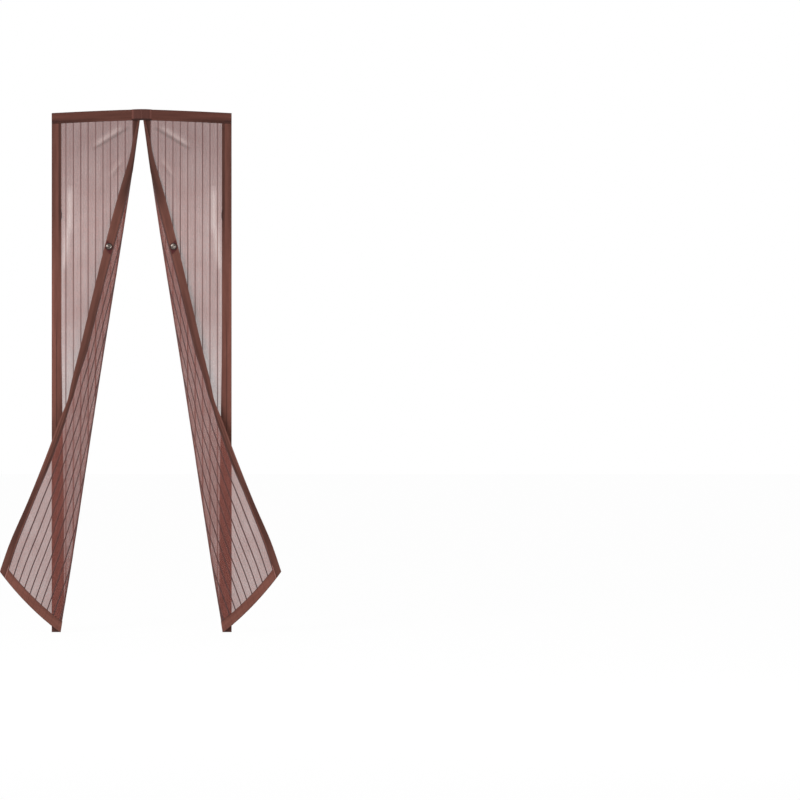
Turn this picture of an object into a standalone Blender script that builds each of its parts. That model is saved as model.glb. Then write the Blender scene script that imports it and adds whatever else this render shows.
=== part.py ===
"""Magnetic insect screen for a doorway, hung open with both net panels folded back.

Each panel is worked out flat, in cloth coordinates: u runs from the outer edge to the
magnet edge, v runs down from the top edge and n is the height over the cloth's middle,
positive on the face that looks into the room where the cloth lies against the door
frame. The same drape() then bends the net, its bindings and its magnets, so they keep
fitting into each other. The screen faces -Y, +Z is up, and the origin is the middle of
the hook tape's back over the middle of the doorway.
"""
import math

import bmesh
import bpy
from mathutils import Matrix, Vector

# Driving dimensions, in metres
SCREEN_WIDTH = 0.728
SCREEN_HEIGHT = 2.100
PANEL_OVERLAP = 0.002
ARCH_RISE = 0.015
ARCH_POWER = 1.3
ARCH_FADE_LENGTH = 0.25

# Net: a thin wall with woven ribs
NET_THICKNESS = 0.0005
RIB_PITCH = 0.030
RIB_WIDTH = 0.0032
RIB_HEIGHT = 0.00025
FIRST_RIB = 0.0575

# Bindings: tape folded over the net's edges
TAPE_THICKNESS = 0.0005
TOP_BAND = 0.044
OUTER_BAND = 0.034
INNER_BAND = 0.037
BOTTOM_BAND = 0.044
NET_INSERT = 0.008
NET_TOP_GAP = 0.002
GAP = 0.0003

# Magnets in the inner bindings
MAGNET_WIDTH = 0.012
MAGNET_INSET = 0.012
MAGNET_SPACE = 0.012

# Fold of each panel, where the cloth turns back
FOLD_TOP_SETBACK = 0.0012
FOLD_FOOT = 0.0355
FOLD_RADIUS_TOP = 0.0023
FOLD_RADIUS_LOW = 0.0090
FOLD_RADIUS_FOOT = 0.0030
FOLD_STEPS = 4

# Folded-back flap: places its magnet edge runs through, as (share of the cloth past the
# fold, share of the screen's height), and the length at the top that isn't drawn up
EDGE_ROUTE = (
    (1.000, 0.000), (1.000, 0.021), (0.820, 0.062), (0.709, 0.092), (0.800, 0.169),
    (0.813, 0.284), (0.724, 0.438), (0.692, 0.515), (0.769, 0.592), (0.889, 0.746),
    (0.979, 0.823), (0.983, 0.882),
)
EDGE_STRAIGHT_LENGTH = 0.080
EDGE_TABLE_STEPS = 100
FLAP_LIFT = 0.055
FLAP_SAG = 0.024
EDGE_SQUEEZE = 0.15

# Sweep stations down the panel
ROW_COUNT = 16

# Hook-and-loop tapes on the back
FASTENER_WIDTH = 0.020
FASTENER_THICKNESS = 0.0015
FASTENER_END = 0.012

# Patch over the middle of the top band
PATCH_WIDTH = 0.080
PATCH_BACK = 0.008
BULGE_REACH = 0.018
BULGE_TAPER = 0.024

# Tie-back button and loop
BUTTON_DROP = 0.587
BUTTON_INSET = 0.0185
TAB_WIDTH = 0.031
TAB_ABOVE = 0.015
TAB_BELOW = 0.023
TAB_THICKNESS = 0.0008
BUTTON_RADIUS = 0.0142
BUTTON_CAP_RADIUS = 0.0112
BUTTON_RIM_HEIGHT = 0.0030
BUTTON_DOME_HEIGHT = 0.0042
BUTTON_FLOOR = 0.0010
BUTTON_STEPS = 20
RIM_WALL_SHARE = 0.8
RIM_ROUND_SHARE = 0.6
RIM_FOOT_SHARE = 0.2
CAP_SIDE_SHARE = 0.45
CAP_STEPS = 4
LOOP_DROP = 0.413
LOOP_HEIGHT = 0.041
LOOP_REACH = 0.0068
LOOP_CORD = 0.0032
LOOP_POINTS = 9

# Fineness of the working
NORMAL_STEP = 0.0002
CUT_SNAP = 0.000001
WELD_DISTANCE = 0.00002
TAPE_END_SHARE = 1 / 6
SHARP_ANGLE = math.radians(35)

# Sizes that follow from the ones above
NET_HALF = NET_THICKNESS / 2
SLOT_HALF = NET_HALF + RIB_HEIGHT + GAP
TAPE_HALF = SLOT_HALF + TAPE_THICKNESS
MAGNET_HALF = SLOT_HALF - GAP
HALF_WIDTH = SCREEN_WIDTH / 2
PANEL_WIDTH = HALF_WIDTH + PANEL_OVERLAP
CLOTH_DEPTH = TAPE_HALF + 2 * (GAP + FASTENER_THICKNESS)
CENTRE_TOP = TOP_BAND / 2
CORNER_TOP = CENTRE_TOP - ARCH_RISE
FOLD_TOP = HALF_WIDTH - FOLD_TOP_SETBACK
NET_FOOT = SCREEN_HEIGHT - BOTTOM_BAND + NET_INSERT
INNER_START = PANEL_WIDTH - INNER_BAND

BROWN_NET = ("net", (0.20, 0.10, 0.10), 0.80, 0.0)
BROWN_TAPE = ("tape", (0.115, 0.045, 0.036), 0.75, 0.0)
DARK_TAPE = ("dark_tape", (0.050, 0.020, 0.017), 0.85, 0.0)
DARK_METAL = ("dark_metal", (0.060, 0.030, 0.028), 0.45, 0.6)
BRIGHT_METAL = ("bright_metal", (0.62, 0.60, 0.58), 0.22, 1.0)
MAGNET_BLACK = ("magnet", (0.030, 0.028, 0.028), 0.60, 0.0)


def clear_scene():
    for thing in list(bpy.data.objects):
        bpy.data.objects.remove(thing, do_unlink=True)


def material(finish):
    name, colour, roughness, metallic = finish
    found = bpy.data.materials.get(name)
    if found:
        return found
    made = bpy.data.materials.new(name)
    made.use_nodes = True
    shader = made.node_tree.nodes["Principled BSDF"]
    shader.inputs["Base Color"].default_value = (*colour, 1.0)
    shader.inputs["Roughness"].default_value = roughness
    shader.inputs["Metallic"].default_value = metallic
    return made


def place(name, mesh, finish, matrix=None):
    """Puts a mesh into the screen's collection as a named object."""
    made = bpy.data.objects.new(name, mesh)
    made.data.materials.append(material(finish))
    if matrix is not None:
        made.matrix_world = matrix
    parts.objects.link(made)
    return made


# Shape of the fold and of the folded-back flap

def smooth_step(share):
    share = min(max(share, 0.0), 1.0)
    return share * share * (3 - 2 * share)


def fold_at(v):
    """Distance of the fold's silhouette from the outer edge."""
    return FOLD_TOP + (FOLD_FOOT - FOLD_TOP) * v / SCREEN_HEIGHT


def radius_at(v):
    """Fold radius: tight under the top band, soft lower down, pressed at the foot."""
    share = v / SCREEN_HEIGHT
    opening = smooth_step((v - 2 * TOP_BAND) / (SCREEN_HEIGHT / 3))
    low = FOLD_RADIUS_TOP + (FOLD_RADIUS_LOW - FOLD_RADIUS_TOP) * opening
    return low + (FOLD_RADIUS_FOOT - low) * smooth_step(3 * share - 2)


def fold_start(v):
    return fold_at(v) - radius_at(v)


def fold_end(v):
    return fold_start(v) + math.pi * radius_at(v)


def curve_point(points, share):
    """Point on a smooth curve through the points, at a share of its point count."""
    place_on = min(max(share, 0.0), 1.0) * (len(points) - 1)
    index = min(int(place_on), len(points) - 2)
    local = place_on - index
    before = points[max(index - 1, 0)]
    start, end = points[index], points[index + 1]
    after = points[min(index + 2, len(points) - 1)]
    slope_in = (end - before) / 2
    slope_out = (after - start) / 2
    square, cube = local * local, local ** 3
    return (start * (2 * cube - 3 * square + 1) + slope_in * (cube - 2 * square + local)
            + end * (3 * square - 2 * cube) + slope_out * (cube - square))


def edge_table():
    """The magnet edge of the left panel as (x, z), at evenly spaced drops of the cloth."""
    route = []
    for reach, share in EDGE_ROUTE:
        drop = share * SCREEN_HEIGHT
        fold = HALF_WIDTH - fold_start(drop)
        route.append(Vector((fold + reach * (PANEL_WIDTH - fold_end(drop)), drop)))
    steps = 4 * EDGE_TABLE_STEPS
    fine = [curve_point(route, step / steps) for step in range(steps + 1)]
    straight = EDGE_STRAIGHT_LENGTH
    lengths = [0.0]
    for one, two in zip(fine, fine[1:]):
        run = two - one
        lengths.append(lengths[-1] + (run.y if two.y < straight else run.length))
    slack = (lengths[-1] - straight) / (SCREEN_HEIGHT - straight)
    table, index = [], 0
    for step in range(EDGE_TABLE_STEPS + 1):
        v = SCREEN_HEIGHT * step / EDGE_TABLE_STEPS
        wanted = v if v < straight else straight + (v - straight) * slack
        while index < steps - 1 and lengths[index + 1] < wanted:
            index += 1
        span = lengths[index + 1] - lengths[index]
        spot = fine[index].lerp(fine[index + 1], (wanted - lengths[index]) / span)
        table.append(Vector((-spot.x, CORNER_TOP - spot.y)))
    return table


EDGE_TABLE = edge_table()


def middle_point(u, v):
    """Middle of the cloth for the left panel, before the arch is added."""
    radius = radius_at(v)
    fold_x = -HALF_WIDTH + fold_at(v)
    z = CORNER_TOP - v
    start, end = fold_start(v), fold_end(v)
    if u <= start:
        return Vector((-HALF_WIDTH + u, -CLOTH_DEPTH, z))
    if u <= end:
        turn = (u - start) / radius
        return Vector((fold_x - radius + radius * math.sin(turn),
                       -CLOTH_DEPTH - radius + radius * math.cos(turn), z))
    top = Vector((fold_x - radius, -CLOTH_DEPTH - 2 * radius, z))
    share = v / SCREEN_HEIGHT
    lift = FLAP_LIFT * share * share
    edge = curve_point(EDGE_TABLE, share)
    tip = Vector((edge.x, top.y - lift, edge.y))
    chord = tip - top
    length = PANEL_WIDTH - end
    even = min(max(2 - length / chord.length, EDGE_SQUEEZE), 1.0)
    along = (u - end) / length
    along *= even + (1 - even) * along
    across = Vector((-chord.z, 0.0, chord.x)).normalized()
    knee = (top + tip) / 2 + across * FLAP_SAG * share ** 3 - Vector((0, lift / 6, 0))
    return top.lerp(knee, along).lerp(knee.lerp(tip, along), along)


def arch_at(x, v):
    """Lift of the top edge towards the middle, fading out below the top band."""
    reach = min(abs(x) / HALF_WIDTH, 1.0)
    below = max(v - TOP_BAND, 0.0)
    return ARCH_RISE * (1 - reach ** ARCH_POWER) * math.exp(-below / ARCH_FADE_LENGTH)


def surface_point(u, v):
    point = middle_point(u, v)
    point.z += arch_at(point.x, v)
    return point


def surface_normal(u, v):
    """Normal towards the cloth's room side."""
    step = NORMAL_STEP
    along = surface_point(u + step, v) - surface_point(u - step, v)
    down = surface_point(u, v + step) - surface_point(u, v - step)
    return down.cross(along).normalized()


def drape(u, v, n):
    return surface_point(u, v) + surface_normal(u, v) * n


# Flat solids and how they are bent

def closed_loft(rings):
    """Closed solid through rings of points, each ring with as many points."""
    made = bmesh.new()
    rings = [[made.verts.new(point) for point in ring] for ring in rings]
    count = len(rings[0])
    for ring, following in zip(rings, rings[1:]):
        for index in range(count):
            after = (index + 1) % count
            made.faces.new((ring[index], ring[after], following[after], following[index]))
    made.faces.new(list(reversed(rings[0])))
    made.faces.new(rings[-1])
    return made


def finished_mesh(name, made):
    """Turns a closed bmesh into a mesh whose faces point out."""
    if made.calc_volume(signed=True) < 0:
        bmesh.ops.reverse_faces(made, faces=made.faces)
    mesh = bpy.data.meshes.new(name)
    made.to_mesh(mesh)
    made.free()
    mesh.shade_smooth()
    mesh.set_sharp_from_angle(angle=SHARP_ANGLE)
    return mesh


def swept_solid(profile, stations, along_v=True):
    """Solid of a profile swept through the stations, in cloth coordinates."""
    rings = []
    for station in stations:
        if along_v:
            rings.append([(across, station, n) for across, n in profile])
        else:
            rings.append([(station, across, n) for across, n in profile])
    return closed_loft(rings)


def cut_along(made, curve):
    """Adds an edge line to a flat solid where u equals curve(v)."""
    for vert in made.verts:
        vert.co.x -= curve(vert.co.y)
    bmesh.ops.bisect_plane(
        made, geom=made.verts[:] + made.edges[:] + made.faces[:], dist=CUT_SNAP,
        plane_co=(0, 0, 0), plane_no=(1, 0, 0))
    for vert in made.verts:
        vert.co.x += curve(vert.co.y)


def draped_mesh(name, made, mirrored):
    """Cuts a flat solid along the fold, bends it and returns its mesh."""
    for step in range(FOLD_STEPS + 1):
        def line(v, turn=math.pi * step / FOLD_STEPS):
            return fold_start(v) + turn * radius_at(v)
        cut_along(made, line)
    bmesh.ops.triangulate(made, faces=made.faces[:])
    for vert in made.verts:
        vert.co = drape(*vert.co)
        if mirrored:
            vert.co.x = -vert.co.x
    return finished_mesh(name, made)


def panel_rows(first, last):
    """The shared sweep stations between two drops, both ends included."""
    start, end = TOP_BAND, SCREEN_HEIGHT - BOTTOM_BAND
    shared = [start + (end - start) * step / ROW_COUNT for step in range(ROW_COUNT + 1)]
    shared.append(NET_FOOT)
    inner = [row for row in shared if first + GAP < row < last - GAP]
    return [first, *inner, last]


def rib_places():
    places, u = [], FIRST_RIB
    while u < INNER_START - RIB_WIDTH:
        places.append(u)
        u += RIB_PITCH
    return places


def net_profile():
    """Section across the net: a thin wall with a rib on both faces at each stripe."""
    first, last = OUTER_BAND - NET_INSERT, INNER_START + NET_INSERT
    half_rib = RIB_WIDTH / 2
    face = [(first, NET_HALF), (OUTER_BAND, NET_HALF)]
    for u in rib_places():
        face += [(u - half_rib, NET_HALF), (u, NET_HALF + RIB_HEIGHT),
                 (u + half_rib, NET_HALF)]
    face += [(INNER_START, NET_HALF), (last, NET_HALF)]
    return face + [(u, -n) for u, n in reversed(face)]


def tape_profile(mouth, crease):
    """Section of a tape folded in two: open at the mouth, closed at the crease."""
    inside = crease - TAPE_THICKNESS if crease > mouth else crease + TAPE_THICKNESS
    return [(mouth, TAPE_HALF), (crease, TAPE_HALF), (crease, -TAPE_HALF),
            (mouth, -TAPE_HALF), (mouth, -SLOT_HALF), (inside, -SLOT_HALF),
            (inside, SLOT_HALF), (mouth, SLOT_HALF)]


def box_profile(low, high, half):
    return [(low, -half), (high, -half), (high, half), (low, half)]


def make_panel(side, mirrored):
    """Net, bindings and magnets of one panel."""
    under_band = TOP_BAND + GAP
    foot = SCREEN_HEIGHT
    net = swept_solid(net_profile(), panel_rows(NET_TOP_GAP, NET_FOOT))
    place(f"{side}_net", draped_mesh(f"{side}_net", net, mirrored), BROWN_NET)

    outer = swept_solid(tape_profile(OUTER_BAND, 0.0), [under_band, foot - 2 * BOTTOM_BAND, foot])
    name = f"{side}_outer_binding"
    place(name, draped_mesh(name, outer, mirrored), BROWN_TAPE)

    inner = swept_solid(tape_profile(INNER_START, PANEL_WIDTH), panel_rows(under_band, foot))
    name = f"{side}_inner_binding"
    place(name, draped_mesh(name, inner, mirrored), BROWN_TAPE)

    stations = [OUTER_BAND + GAP, *rib_places(), INNER_START - GAP]
    bottom = swept_solid(tape_profile(foot - BOTTOM_BAND, foot), stations, along_v=False)
    name = f"{side}_bottom_binding"
    place(name, draped_mesh(name, bottom, mirrored), BROWN_TAPE)

    rows = panel_rows(TOP_BAND, foot - BOTTOM_BAND)[1:]
    middle = PANEL_WIDTH - MAGNET_INSET
    for index, (start, end) in enumerate(zip(rows, rows[1:]), start=1):
        section = box_profile(middle - MAGNET_WIDTH / 2, middle + MAGNET_WIDTH / 2, MAGNET_HALF)
        magnet = swept_solid(section, [start + MAGNET_SPACE, end - MAGNET_SPACE])
        name = f"{side}_magnet_{index:02d}"
        place(name, draped_mesh(name, magnet, mirrored), MAGNET_BLACK)


# Top band, patch and fastener tapes

def top_stations(reach):
    """Places across the screen where the arched pieces get a section."""
    marks = [0.0, BULGE_REACH, BULGE_REACH + BULGE_TAPER]
    step_count = 5
    start = marks[-1]
    marks += [start + (reach - start) * step / step_count for step in range(1, step_count + 1)]
    marks = [mark for mark in marks if mark < reach - GAP] + [reach]
    return [-mark for mark in reversed(marks) if mark > 0] + marks


def flap_front(x):
    """Front of the room inside the top band: over the net, or at the middle the fold."""
    flat = NET_HALF + RIB_HEIGHT
    folded = 2 * FOLD_RADIUS_TOP + flat
    share = smooth_step(1 - (abs(x) - BULGE_REACH) / BULGE_TAPER)
    return -CLOTH_DEPTH - flat - (folded - flat) * share


def arched_solid(name, section, reach, finish):
    """Loft of section(x), a list of (y, z) points, across the arched top."""
    rings = []
    for x in top_stations(reach):
        rise = CORNER_TOP + arch_at(x, 0.0)
        rings.append([(x, y, rise + z) for y, z in section(x)])
    made = closed_loft(rings)
    bmesh.ops.triangulate(made, faces=made.faces[:])
    return place(name, finished_mesh(name, made), finish)


BAND_BACK = -CLOTH_DEPTH + TAPE_HALF


def band_section(x):
    front_in = flap_front(x) - GAP
    front_out = front_in - TAPE_THICKNESS
    back_in = BAND_BACK - TAPE_THICKNESS
    return [(front_out, -TOP_BAND), (front_out, 0.0), (BAND_BACK, 0.0),
            (BAND_BACK, -TOP_BAND), (back_in, -TOP_BAND), (back_in, -TAPE_THICKNESS),
            (front_in, -TAPE_THICKNESS), (front_in, -TOP_BAND)]


def patch_section(x):
    front_in = flap_front(x) - 2 * GAP - TAPE_THICKNESS
    front_out = front_in - TAPE_THICKNESS
    back_in = BAND_BACK + GAP
    back_out = back_in + TAPE_THICKNESS
    crown = GAP + TAPE_THICKNESS
    return [(front_out, -TOP_BAND), (front_out, crown), (back_out, crown),
            (back_out, -PATCH_BACK), (back_in, -PATCH_BACK), (back_in, GAP),
            (front_in, GAP), (front_in, -TOP_BAND)]


def fastener_section(near):
    """Section of a fastener tape on the back of the top band, near its top face at y."""
    top = -(TOP_BAND - FASTENER_WIDTH) / 2
    far = near + FASTENER_THICKNESS

    def section(_x):
        return [(near, top), (far, top), (far, top - FASTENER_WIDTH), (near, top - FASTENER_WIDTH)]
    return section


LOOP_TAPE_BACK = BAND_BACK + GAP
HOOK_TAPE_BACK = LOOP_TAPE_BACK + FASTENER_THICKNESS + GAP


def box_between(name, low, high, finish):
    """Flat strip between two corners, its ends rounded off."""
    made = bmesh.new()
    bmesh.ops.create_cube(made, size=1.0)
    size = Vector(high) - Vector(low)
    bmesh.ops.scale(made, vec=size, verts=made.verts)
    bmesh.ops.translate(made, vec=(Vector(low) + Vector(high)) / 2, verts=made.verts)
    corners = [edge for edge in made.edges
               if abs(edge.verts[0].co.y - edge.verts[1].co.y) > size.y / 2]
    bmesh.ops.bevel(made, geom=corners, offset=size.x * TAPE_END_SHARE, segments=2,
                    affect="EDGES", profile=0.5)
    return place(name, finished_mesh(name, made), finish)


def make_top():
    arched_solid("top_band", band_section, HALF_WIDTH, BROWN_TAPE)
    arched_solid("centre_patch", patch_section, PATCH_WIDTH / 2, BROWN_TAPE)
    reach = HALF_WIDTH - FASTENER_END
    arched_solid("top_loop_tape", fastener_section(LOOP_TAPE_BACK), reach, DARK_TAPE)
    arched_solid("top_hook_tape", fastener_section(HOOK_TAPE_BACK), reach, DARK_TAPE)


def make_side_tapes(side, sign):
    """Loop tape sewn on the outer binding's back, and the hook tape of the frame."""
    centre = sign * (HALF_WIDTH - OUTER_BAND / 2)
    low_x, high_x = centre - FASTENER_WIDTH / 2, centre + FASTENER_WIDTH / 2
    top = CORNER_TOP - TOP_BAND - FASTENER_END
    foot = CORNER_TOP - SCREEN_HEIGHT + BOTTOM_BAND + FASTENER_END
    for kind, near in (("loop", LOOP_TAPE_BACK), ("hook", HOOK_TAPE_BACK)):
        box_between(f"{side}_side_{kind}_tape", (low_x, near, foot),
                    (high_x, near + FASTENER_THICKNESS, top), DARK_TAPE)


# Tie-backs

def turned(name, profile, finish, matrix):
    """Solid of revolution about its own Z, from (radius, height) points."""
    mesh = bpy.data.meshes.new(name)
    points = [(radius, 0.0, height) for radius, height in profile]
    mesh.from_pydata(points, [(index, index + 1) for index in range(len(points) - 1)], [])
    made = place(name, mesh, finish, matrix)
    spin = made.modifiers.new("turn", "SCREW")
    spin.steps = BUTTON_STEPS
    spin.render_steps = BUTTON_STEPS
    spin.use_merge_vertices = True
    spin.merge_threshold = WELD_DISTANCE
    spin.use_smooth_shade = True
    return made


def rim_profile():
    """Dish that holds the cap: rounded wall, flat floor, from the top down outside."""
    wall = BUTTON_CAP_RADIUS + GAP
    floor = BUTTON_FLOOR
    height = BUTTON_RIM_HEIGHT
    crown = (wall + BUTTON_RADIUS) / 2
    foot = height * RIM_FOOT_SHARE
    return [(0.0, floor), (wall, floor), (wall, height * RIM_WALL_SHARE), (crown, height),
            (BUTTON_RADIUS, height * RIM_ROUND_SHARE), (BUTTON_RADIUS, foot),
            (BUTTON_RADIUS - foot, 0.0), (0.0, 0.0)]


def cap_profile():
    """Domed cap that stands in the rim."""
    base = BUTTON_FLOOR + GAP
    rise = BUTTON_DOME_HEIGHT
    points = [(0.0, base + rise)]
    for step in range(1, CAP_STEPS + 1):
        angle = math.pi / 2 * step / CAP_STEPS
        share = CAP_SIDE_SHARE + (1 - CAP_SIDE_SHARE) * math.cos(angle)
        points.append((BUTTON_CAP_RADIUS * math.sin(angle), base + rise * share))
    return points + [(BUTTON_CAP_RADIUS, base), (0.0, base)]


def make_tieback(side, mirrored):
    """Tab and button on the inner binding, and cord loop at the outer binding's mouth."""
    u, v = PANEL_WIDTH - BUTTON_INSET, BUTTON_DROP
    near = -TAPE_HALF - GAP
    far = near - TAB_THICKNESS
    low, high = u - TAB_WIDTH / 2, u + TAB_WIDTH / 2
    tab = swept_solid([(low, far), (high, far), (high, near), (low, near)],
                      [v - TAB_ABOVE, v, v + TAB_BELOW])
    name = f"{side}_button_tab"
    place(name, draped_mesh(name, tab, mirrored), DARK_TAPE)

    outward = -surface_normal(u, v)
    spot = surface_point(u, v) + outward * (2 * GAP - far)
    if mirrored:
        outward.x, spot.x = -outward.x, -spot.x
    matrix = Matrix.Translation(spot) @ outward.to_track_quat("Z", "Y").to_matrix().to_4x4()
    turned(f"{side}_button_rim", rim_profile(), DARK_METAL, matrix)
    turned(f"{side}_button_cap", cap_profile(), BRIGHT_METAL, matrix)

    curve = bpy.data.curves.new(f"{side}_loop_route", "CURVE")
    curve.dimensions = "3D"
    curve.bevel_depth = LOOP_CORD / 2
    curve.bevel_resolution = 2
    curve.use_fill_caps = True
    mouth = -HALF_WIDTH + OUTER_BAND + GAP
    depth = -CLOTH_DEPTH - NET_HALF - RIB_HEIGHT - GAP - LOOP_CORD / 2
    middle, half_height = CORNER_TOP - LOOP_DROP, (LOOP_HEIGHT - LOOP_CORD) / 2
    points = [(mouth, middle + half_height)]
    for index in range(LOOP_POINTS):
        angle = math.pi * index / (LOOP_POINTS - 1)
        points.append((mouth + LOOP_CORD / 2 + (LOOP_REACH - LOOP_CORD) * math.sin(angle),
                       middle + half_height * math.cos(angle)))
    points.append((mouth, middle - half_height))
    route = curve.splines.new("POLY")
    route.points.add(len(points) - 1)
    for point, (x, z) in zip(route.points, points):
        point.co = (-x if mirrored else x, depth, z, 1.0)
    guide = bpy.data.objects.new(f"{side}_loop_route", curve)
    parts.objects.link(guide)
    bpy.context.view_layer.update()
    evaluated = guide.evaluated_get(bpy.context.evaluated_depsgraph_get())
    mesh = bpy.data.meshes.new_from_object(evaluated)
    bpy.data.objects.remove(guide, do_unlink=True)
    welded = bmesh.new()
    welded.from_mesh(mesh)
    bmesh.ops.remove_doubles(welded, verts=welded.verts, dist=WELD_DISTANCE)
    name = f"{side}_tieback_loop"
    place(name, finished_mesh(name, welded), DARK_TAPE)


clear_scene()
parts = bpy.data.collections.new("magnetic_insect_screen")
bpy.context.scene.collection.children.link(parts)
for panel_side, is_mirrored in (("left", False), ("right", True)):
    make_panel(panel_side, is_mirrored)
    make_side_tapes(panel_side, 1 if is_mirrored else -1)
    make_tieback(panel_side, is_mirrored)
make_top()
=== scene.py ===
"""Looks of the magnetic insect screen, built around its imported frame.

All cloth is worked out flat, in cloth coordinates as the frame's part is: u runs from
the outer edge to the magnet edge, v runs down from the top edge and n is the height over
the cloth's middle. Each flat piece keeps (u, v) as its UV map, so weave, ribs and
stitches follow the cloth, and is then bent by drape(). The right panel is the left one
mirrored.
"""
import math

import bmesh
import bpy
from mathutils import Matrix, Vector


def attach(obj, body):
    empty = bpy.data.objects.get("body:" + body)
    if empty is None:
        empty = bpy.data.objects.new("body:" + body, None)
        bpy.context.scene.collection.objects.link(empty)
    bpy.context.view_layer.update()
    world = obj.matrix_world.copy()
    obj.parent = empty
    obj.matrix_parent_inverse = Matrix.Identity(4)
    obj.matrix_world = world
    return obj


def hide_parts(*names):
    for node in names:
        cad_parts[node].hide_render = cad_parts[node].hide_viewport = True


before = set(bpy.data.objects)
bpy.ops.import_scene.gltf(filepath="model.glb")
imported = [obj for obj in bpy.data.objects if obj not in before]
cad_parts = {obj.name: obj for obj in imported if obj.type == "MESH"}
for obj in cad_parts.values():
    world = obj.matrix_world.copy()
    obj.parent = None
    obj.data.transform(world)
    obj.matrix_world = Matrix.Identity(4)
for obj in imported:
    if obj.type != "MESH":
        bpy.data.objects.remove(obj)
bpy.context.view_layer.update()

# Sizes of the screen, in metres. They are the frame's own, but EDGE_ROUTE and BUTTON_DROP
# follow the photograph more closely.
SCREEN_WIDTH = 0.728
SCREEN_HEIGHT = 2.100
PANEL_OVERLAP = 0.002
ARCH_RISE = 0.015
ARCH_POWER = 1.3
ARCH_FADE_LENGTH = 0.25
NET_THICKNESS = 0.0005
RIB_PITCH = 0.030
RIB_WIDTH = 0.0032
RIB_HEIGHT = 0.00025
FIRST_RIB = 0.0575
TAPE_THICKNESS = 0.0005
TOP_BAND = 0.044
OUTER_BAND = 0.034
INNER_BAND = 0.037
BOTTOM_BAND = 0.044
NET_INSERT = 0.008
NET_TOP_GAP = 0.002
GAP = 0.0003
MAGNET_WIDTH = 0.012
MAGNET_INSET = 0.012
MAGNET_SPACE = 0.012
MAGNET_ROWS = 16
FOLD_TOP_SETBACK = 0.0012
FOLD_FOOT = 0.0355
FOLD_RADIUS_TOP = 0.0023
FOLD_RADIUS_LOW = 0.0090
FOLD_RADIUS_FOOT = 0.0030
EDGE_ROUTE = (
    (1.000, 0.000), (1.000, 0.021), (0.820, 0.062), (0.709, 0.092), (0.875, 0.169),
    (0.805, 0.284), (0.680, 0.438), (0.660, 0.515), (0.641, 0.554), (0.708, 0.592),
    (0.790, 0.662), (0.888, 0.746), (0.974, 0.823), (0.986, 0.882),
)
EDGE_STRAIGHT_LENGTH = 0.080
EDGE_TABLE_STEPS = 100
FLAP_LIFT = 0.055
FLAP_SAG = 0.024
EDGE_SQUEEZE = 0.15
FASTENER_THICKNESS = 0.0015
PATCH_WIDTH = 0.080
PATCH_BACK = 0.008
BULGE_REACH = 0.018
BULGE_TAPER = 0.024
BUTTON_DROP = 0.582
BUTTON_INSET = 0.0185
TAB_WIDTH = 0.031
TAB_ABOVE = 0.015
TAB_BELOW = 0.023
TAB_THICKNESS = 0.0008
BUTTON_RADIUS = 0.0142
BUTTON_CAP_RADIUS = 0.0112
BUTTON_RIM_HEIGHT = 0.0030
BUTTON_DOME_HEIGHT = 0.0042
BUTTON_FLOOR = 0.0010
LOOP_DROP = 0.413
LOOP_HEIGHT = 0.041
LOOP_REACH = 0.0068
LOOP_CORD = 0.0032

NET_HALF = NET_THICKNESS / 2
SLOT_HALF = NET_HALF + RIB_HEIGHT + GAP
TAPE_HALF = SLOT_HALF + TAPE_THICKNESS
HALF_WIDTH = SCREEN_WIDTH / 2
PANEL_WIDTH = HALF_WIDTH + PANEL_OVERLAP
CLOTH_DEPTH = TAPE_HALF + 2 * (GAP + FASTENER_THICKNESS)
CORNER_TOP = TOP_BAND / 2 - ARCH_RISE
FOLD_TOP = HALF_WIDTH - FOLD_TOP_SETBACK
NET_FOOT = SCREEN_HEIGHT - BOTTOM_BAND + NET_INSERT
INNER_START = PANEL_WIDTH - INNER_BAND
BAND_BACK = -CLOTH_DEPTH + TAPE_HALF

# How fine the visible meshes are
ROW_STEP = 0.012
ARCH_STEP = 0.006
FOLD_STEPS = 12
TURN_STEPS = 64
SHARP_ANGLE = 50

# Details that only the visible meshes have
STITCH_PITCH = 0.0050
STITCH_LENGTH = 0.0033
STITCH_RADIUS = 0.00028
STITCH_SIDES = 5
STITCH_SHOULDERS = (0.18, 0.82)
SEAM_INSET = 0.0035
OUTER_SHOWN = 0.0392
TUCK = 0.0040
GROOVE_WIDTH = 0.0016
GROOVE_DEPTH = 0.00030
GROOVE_SHAPE = ((-1.0, 0.0), (-0.45, 0.75), (0.0, 1.0), (0.45, 0.75), (1.0, 0.0))
RIB_SHAPE = (-1.0, -0.6, 0.0, 0.6, 1.0)
TOP_SQUEEZE = 0.55
PATCH_BEND = 0.0012
TACK_DROP = 0.0325
TACK_HEIGHT = 0.0028
TACK_ENDS = (0.002, 0.026)
TACK_TURNS = 44
RIM_CHAMFER = 0.0006
DIMPLE_RADIUS = 0.0050
DIMPLE_DEPTH = 0.0006
LOOP_TWISTS = 15

# The photograph's scale and the place of the built copy in it
METRES_PER_PIXEL = 0.0040476
PHOTO_SIZE = 800
COPY_MIDDLE_X = 141.75
ORIGIN_Y = 114.9
CAMERA_DISTANCE = 14.0
SENSOR_WIDTH = 36.0

# The fold's wave: its mean and swing, then its crest, pitch and fades as shares of the height
WAVE_MEAN = 0.0014
WAVE_SWING = 0.0012
WAVE_CREST = 0.20
WAVE_PITCH = 0.65
WAVE_FADE = 0.12

# How much wider the magnet edge's band gets as the cloth curls, in steps of (start, length,
# share), and the pinch where the flap crosses the outer tape
BAND_CURLS = ((0.25, 0.20, 0.17), (1.00, 0.20, -0.37), (1.55, 0.17, -0.13), (1.76, 0.34, 0.25))
PINCH_DROP = 1.30
PINCH_LENGTH = 0.05
PINCH_SHARE = 0.27
CURL_REACH = 0.080


# Shape of the cloth

def smooth_step(share):
    share = min(max(share, 0.0), 1.0)
    return share * share * (3 - 2 * share)


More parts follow.
